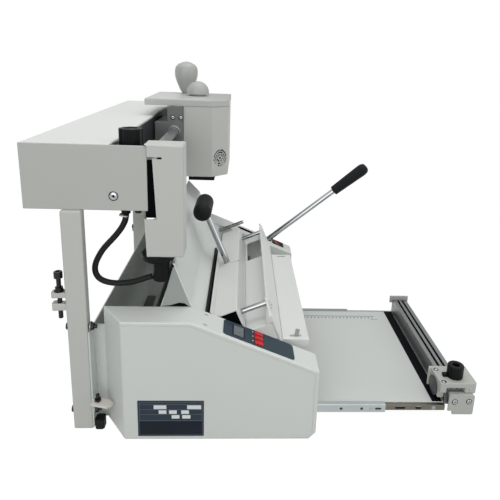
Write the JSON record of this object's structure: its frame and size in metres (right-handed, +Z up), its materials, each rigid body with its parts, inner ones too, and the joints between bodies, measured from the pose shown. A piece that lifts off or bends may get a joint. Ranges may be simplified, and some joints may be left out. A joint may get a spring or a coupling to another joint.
{
  "type": "thermal book binding machine",
  "caption": "Manual hot-glue book binder: tilted clamp between two housings, sliding milling head on a rear beam, trimming table drawn out at the front.",
  "frame": {"origin": "floor point under the middle of the machine's box, with the table drawn out", "axes": "+X is the front, where the table draws out; +Y is the far side, away from the control panel; +Z is up"},
  "size_m": [0.634, 0.64, 0.5],
  "materials": {
    "near_housing": "semi-gloss light warm grey paint",
    "far_housing": "semi-gloss light warm grey paint",
    "base_tray": "semi-gloss light warm grey paint",
    "rear_panel": "semi-gloss light warm grey paint",
    "near_leg": "semi-gloss light warm grey paint",
    "far_leg": "semi-gloss light warm grey paint",
    "beam_cover": "semi-gloss very light grey paint",
    "beam_near_plate": "semi-gloss light warm grey paint",
    "beam_far_plate": "semi-gloss light warm grey paint",
    "beam_channel": "satin black paint",
    "guide_rod": "ground steel",
    "beam_lock_knob": "black moulded plastic",
    "end_guard": "semi-gloss light warm grey paint",
    "cable_boss": "black moulded plastic",
    "head_cable": "black rubber",
    "cable_gland": "black moulded plastic",
    "head_shell": "semi-gloss light warm grey paint",
    "head_lid": "semi-gloss light warm grey paint",
    "head_bearing": "dark grey casting",
    "head_handle": "grey moulded plastic",
    "head_knob": "grey moulded plastic",
    "head_motor": "ground steel",
    "cutter_guard": "black moulded plastic",
    "cutter_disc": "ground steel",
    "back_plate": "semi-gloss light warm grey paint",
    "jaw_lip": "black rubber",
    "clamp_jaw": "semi-gloss very light grey paint",
    "jaw_strip": "semi-gloss very light grey paint",
    "near_guide_pin": "bright chrome plating",
    "far_guide_pin": "bright chrome plating",
    "stop_rod": "bright chrome plating",
    "front_bar": "semi-gloss very light grey paint",
    "front_shelf": "semi-gloss very light grey paint",
    "clamp_bed": "semi-gloss very light grey paint",
    "tee_stem": "bright chrome plating",
    "tee_grip": "black moulded plastic",
    "lever_arm": "bright chrome plating",
    "lever_grip": "black moulded plastic",
    "cam_shaft": "ground steel",
    "glue_pot": "dark grey casting",
    "glue_roller": "ground steel",
    "control_overlay": "slate blue-grey printed film",
    "button_upper": "glossy red plastic",
    "button_middle": "glossy red plastic",
    "button_lower": "glossy red plastic",
    "power_rocker": "glossy red plastic",
    "table_board": "semi-gloss very light grey paint",
    "cutting_mat": "black rubber",
    "near_slide_outer": "warm zinc-plated steel",
    "near_slide_mid": "warm zinc-plated steel",
    "near_slide_inner": "warm zinc-plated steel",
    "far_slide_outer": "warm zinc-plated steel",
    "far_slide_mid": "warm zinc-plated steel",
    "far_slide_inner": "warm zinc-plated steel",
    "rail_extrusion": "natural anodised aluminium",
    "rail_far_bracket": "natural anodised aluminium",
    "rail_near_bracket": "natural anodised aluminium",
    "trim_carriage": "natural anodised aluminium",
    "trim_blade": "ground steel",
    "trim_knob": "black moulded plastic"
  },
  "bodies": {
    "machine": {"near_housing": "near_housing", "far_housing": "far_housing", "base_tray": "base_tray", "rear_panel": "rear_panel", "near_leg": "near_leg", "far_leg": "far_leg", "beam_cover": "beam_cover", "beam_near_plate": "beam_near_plate", "beam_far_plate": "beam_far_plate", "beam_channel": "beam_channel", "guide_rod": "guide_rod", "end_guard": "end_guard", "cable_boss": "cable_boss", "head_cable": "head_cable", "cable_gland": "cable_gland", "back_plate": "back_plate", "jaw_lip": "jaw_lip", "near_guide_pin": "near_guide_pin", "far_guide_pin": "far_guide_pin", "stop_rod": "stop_rod", "front_bar": "front_bar", "front_shelf": "front_shelf", "clamp_bed": "clamp_bed", "glue_pot": "glue_pot", "control_overlay": "control_overlay", "near_slide_outer": "near_slide_outer", "far_slide_outer": "far_slide_outer"},
    "lock_knob": {"beam_lock_knob": "beam_lock_knob"},
    "head": {"head_shell": "head_shell", "head_lid": "head_lid", "head_bearing": "head_bearing", "head_motor": "head_motor", "cutter_guard": "cutter_guard"},
    "cutter": {"cutter_disc": "cutter_disc"},
    "handle": {"head_handle": "head_handle"},
    "knob": {"head_knob": "head_knob"},
    "clamp": {"clamp_jaw": "clamp_jaw", "jaw_strip": "jaw_strip", "tee_stem": "tee_stem", "tee_grip": "tee_grip"},
    "lever": {"lever_arm": "lever_arm", "lever_grip": "lever_grip", "cam_shaft": "cam_shaft"},
    "roller": {"glue_roller": "glue_roller"},
    "upper_button": {"button_upper": "button_upper"},
    "middle_button": {"button_middle": "button_middle"},
    "lower_button": {"button_lower": "button_lower"},
    "rocker": {"power_rocker": "power_rocker"},
    "slide_mids": {"near_slide_mid": "near_slide_mid", "far_slide_mid": "far_slide_mid"},
    "table": {"table_board": "table_board", "cutting_mat": "cutting_mat", "near_slide_inner": "near_slide_inner", "far_slide_inner": "far_slide_inner", "rail_extrusion": "rail_extrusion", "rail_far_bracket": "rail_far_bracket", "rail_near_bracket": "rail_near_bracket"},
    "carriage": {"trim_carriage": "trim_carriage"},
    "blade": {"trim_blade": "trim_blade"},
    "carriage_knob": {"trim_knob": "trim_knob"}
  },
  "joints": [
    {"name": "head_slide", "type": "slide", "parent": "machine", "child": "head", "axis": [0, 1, 0], "range_m": [-0.26, 0.105]},
    {"name": "cutter_spin", "type": "hinge", "parent": "head", "child": "cutter", "pos_m": [-0.119, 0.085, 0.288], "axis": [0, 0, 1], "continuous": true},
    {"name": "handle_turn", "type": "hinge", "parent": "head", "child": "handle", "pos_m": [-0.1636, 0.183, 0.4355], "axis": [0, 0, 1], "continuous": true},
    {"name": "knob_turn", "type": "hinge", "parent": "head", "child": "knob", "pos_m": [-0.1346, 0.126, 0.4355], "axis": [0, 0, 1], "range_deg": [-90, 90]},
    {"name": "lock_knob_turn", "type": "hinge", "parent": "machine", "child": "lock_knob", "pos_m": [-0.186, -0.26, 0.404], "axis": [0, 0, 1], "range_deg": [-180, 180]},
    {"name": "clamp_slide", "type": "slide", "parent": "machine", "child": "clamp", "axis": [0.9239, 0, 0.3827], "range_m": [0, 0.025]},
    {"name": "lever_turn", "type": "hinge", "parent": "machine", "child": "lever", "pos_m": [-0.0258, 0.136, 0.0933], "axis": [0, -1, 0], "range_deg": [0, 50]},
    {"name": "roller_spin", "type": "hinge", "parent": "machine", "child": "roller", "pos_m": [-0.129, -0.08, 0.112], "axis": [0, 1, 0], "continuous": true},
    {"name": "upper_button_press", "type": "slide", "parent": "machine", "child": "upper_button", "axis": [-0.383, 0, -0.9237], "range_m": [0, 0.001], "stiffness_N_per_m": 500, "springref_m": -0.0006},
    {"name": "middle_button_press", "type": "slide", "parent": "machine", "child": "middle_button", "axis": [-0.383, 0, -0.9237], "range_m": [0, 0.001], "stiffness_N_per_m": 500, "springref_m": -0.0006},
    {"name": "lower_button_press", "type": "slide", "parent": "machine", "child": "lower_button", "axis": [-0.383, 0, -0.9237], "range_m": [0, 0.001], "stiffness_N_per_m": 500, "springref_m": -0.0006},
    {"name": "rocker_turn", "type": "hinge", "parent": "machine", "child": "rocker", "pos_m": [0.03549, 0.142, 0.11936], "axis": [0, -1, 0], "range_deg": [0, 12]},
    {"name": "table_slide", "type": "slide", "parent": "machine", "child": "table", "axis": [1, 0, 0], "range_m": [-0.2, 0]},
    {"name": "slide_mid_travel", "type": "slide", "parent": "machine", "child": "slide_mids", "axis": [1, 0, 0], "range_m": [-0.113, 0]},
    {"name": "carriage_slide", "type": "slide", "parent": "table", "child": "carriage", "axis": [0, 1, 0], "range_m": [0, 0.245]},
    {"name": "blade_spin", "type": "hinge", "parent": "carriage", "child": "blade", "pos_m": [0.2595, -0.244, 0.0343], "axis": [1, 0, 0], "continuous": true},
    {"name": "carriage_knob_turn", "type": "hinge", "parent": "carriage", "child": "carriage_knob", "pos_m": [0.289, -0.25, 0.06], "axis": [0, 0, 1], "range_deg": [-180, 180]}
  ],
  "couplings": [
    {"joint": "slide_mid_travel", "follows": "table_slide", "ratio": 0.56}
  ]
}
